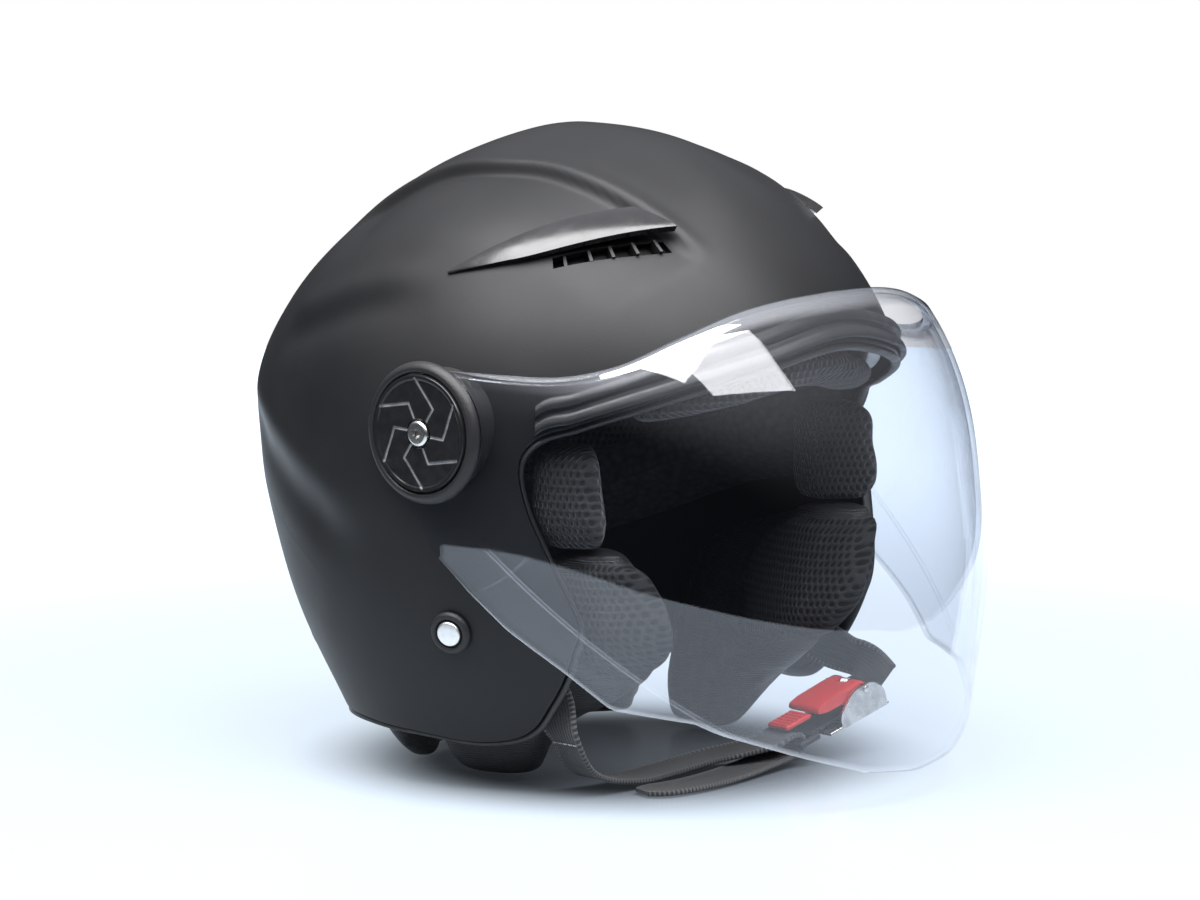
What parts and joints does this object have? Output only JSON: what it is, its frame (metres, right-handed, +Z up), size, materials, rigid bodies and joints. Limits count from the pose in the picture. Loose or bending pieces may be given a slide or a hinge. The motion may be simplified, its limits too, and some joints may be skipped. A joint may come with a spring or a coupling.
{
  "type": "open face motorcycle helmet",
  "caption": "Matte black open face motorcycle helmet with a long clear flip-up visor, side pivots, upper vents, padded lining and a chin strap with a quick-release buckle.",
  "frame": {"origin": "bottom centre of the bounding box, on the surface the helmet stands on", "axes": "+Z up, the wearer looks along -Y, the wearer's left is +X"},
  "size_m": [0.264, 0.3136, 0.2578],
  "materials": {
    "shell_coat": "matte black paint with a soft sheen",
    "gloss_black": "gloss",
    "satin_black": "satin, fine texture",
    "trim_rubber": "matte",
    "liner_foam": "expanded bead foam",
    "spacer_mesh": "open spacer mesh",
    "leatherette": "fine lined leatherette",
    "webbing": "woven webbing",
    "visor_clear": "clear polycarbonate, polished",
    "bright_steel": "bright zinc plate",
    "satin_aluminium": "satin",
    "red_plastic": "satin moulded",
    "white_nylon": "natural nylon"
  },
  "bodies": {
    "helmet": {"brow_pad": "spacer_mesh", "brow_retainer": "gloss_black", "brow_seal": "trim_rubber", "buckle_body": "satin_black", "buckle_frame": "bright_steel", "buckle_pin": "bright_steel", "buckle_tongue": "satin_black", "cheek_pad_left": "leatherette", "cheek_pad_right": "leatherette", "comfort_liner": "spacer_mesh", "edge_trim": "trim_rubber", "foam_liner": "liner_foam", "lever_spring": "bright_steel", "neck_roll": "leatherette", "outer_shell": "shell_coat", "pivot_base_left": "satin_black", "pivot_base_right": "satin_black", "pivot_cap_left": "gloss_black", "pivot_cap_right": "gloss_black", "pivot_ring_left": "satin_black", "pivot_ring_right": "satin_black", "pivot_screw_left": "bright_steel", "pivot_screw_right": "bright_steel", "pivot_washer_left": "bright_steel", "pivot_washer_right": "bright_steel", "rivet_front_left": "satin_aluminium", "rivet_front_right": "satin_aluminium", "rivet_rear_left": "satin_aluminium", "rivet_rear_right": "satin_aluminium", "rivet_washer_front_left": "trim_rubber", "rivet_washer_front_right": "trim_rubber", "rivet_washer_rear_left": "trim_rubber", "rivet_washer_rear_right": "trim_rubber", "strap_anchor_left": "bright_steel", "strap_anchor_right": "bright_steel", "strap_left": "webbing", "strap_right": "webbing", "temple_pad_left": "spacer_mesh", "temple_pad_right": "spacer_mesh", "vent_blade_left": "gloss_black", "vent_blade_right": "gloss_black", "vent_grille_left": "satin_black", "vent_grille_right": "satin_black"},
    "visor": {"visor": "visor_clear", "visor_bush_left": "white_nylon", "visor_bush_right": "white_nylon"},
    "lever": {"buckle_lever": "red_plastic", "pull_tab": "red_plastic"}
  },
  "joints": [
    {"name": "visor_pivot", "type": "hinge", "parent": "helmet", "child": "visor", "pos_m": [0, -0.0065, 0.147], "axis": [-1, 0, 0], "range_deg": [0, 68]},
    {"name": "buckle_lever", "type": "hinge", "parent": "helmet", "child": "lever", "pos_m": [0.05936, -0.07347, 0.0286], "axis": [0.178, 0.984, 0], "range_deg": [0, 50], "stiffness_Nm_per_rad": 0.03, "springref_deg": -11.46}
  ]
}
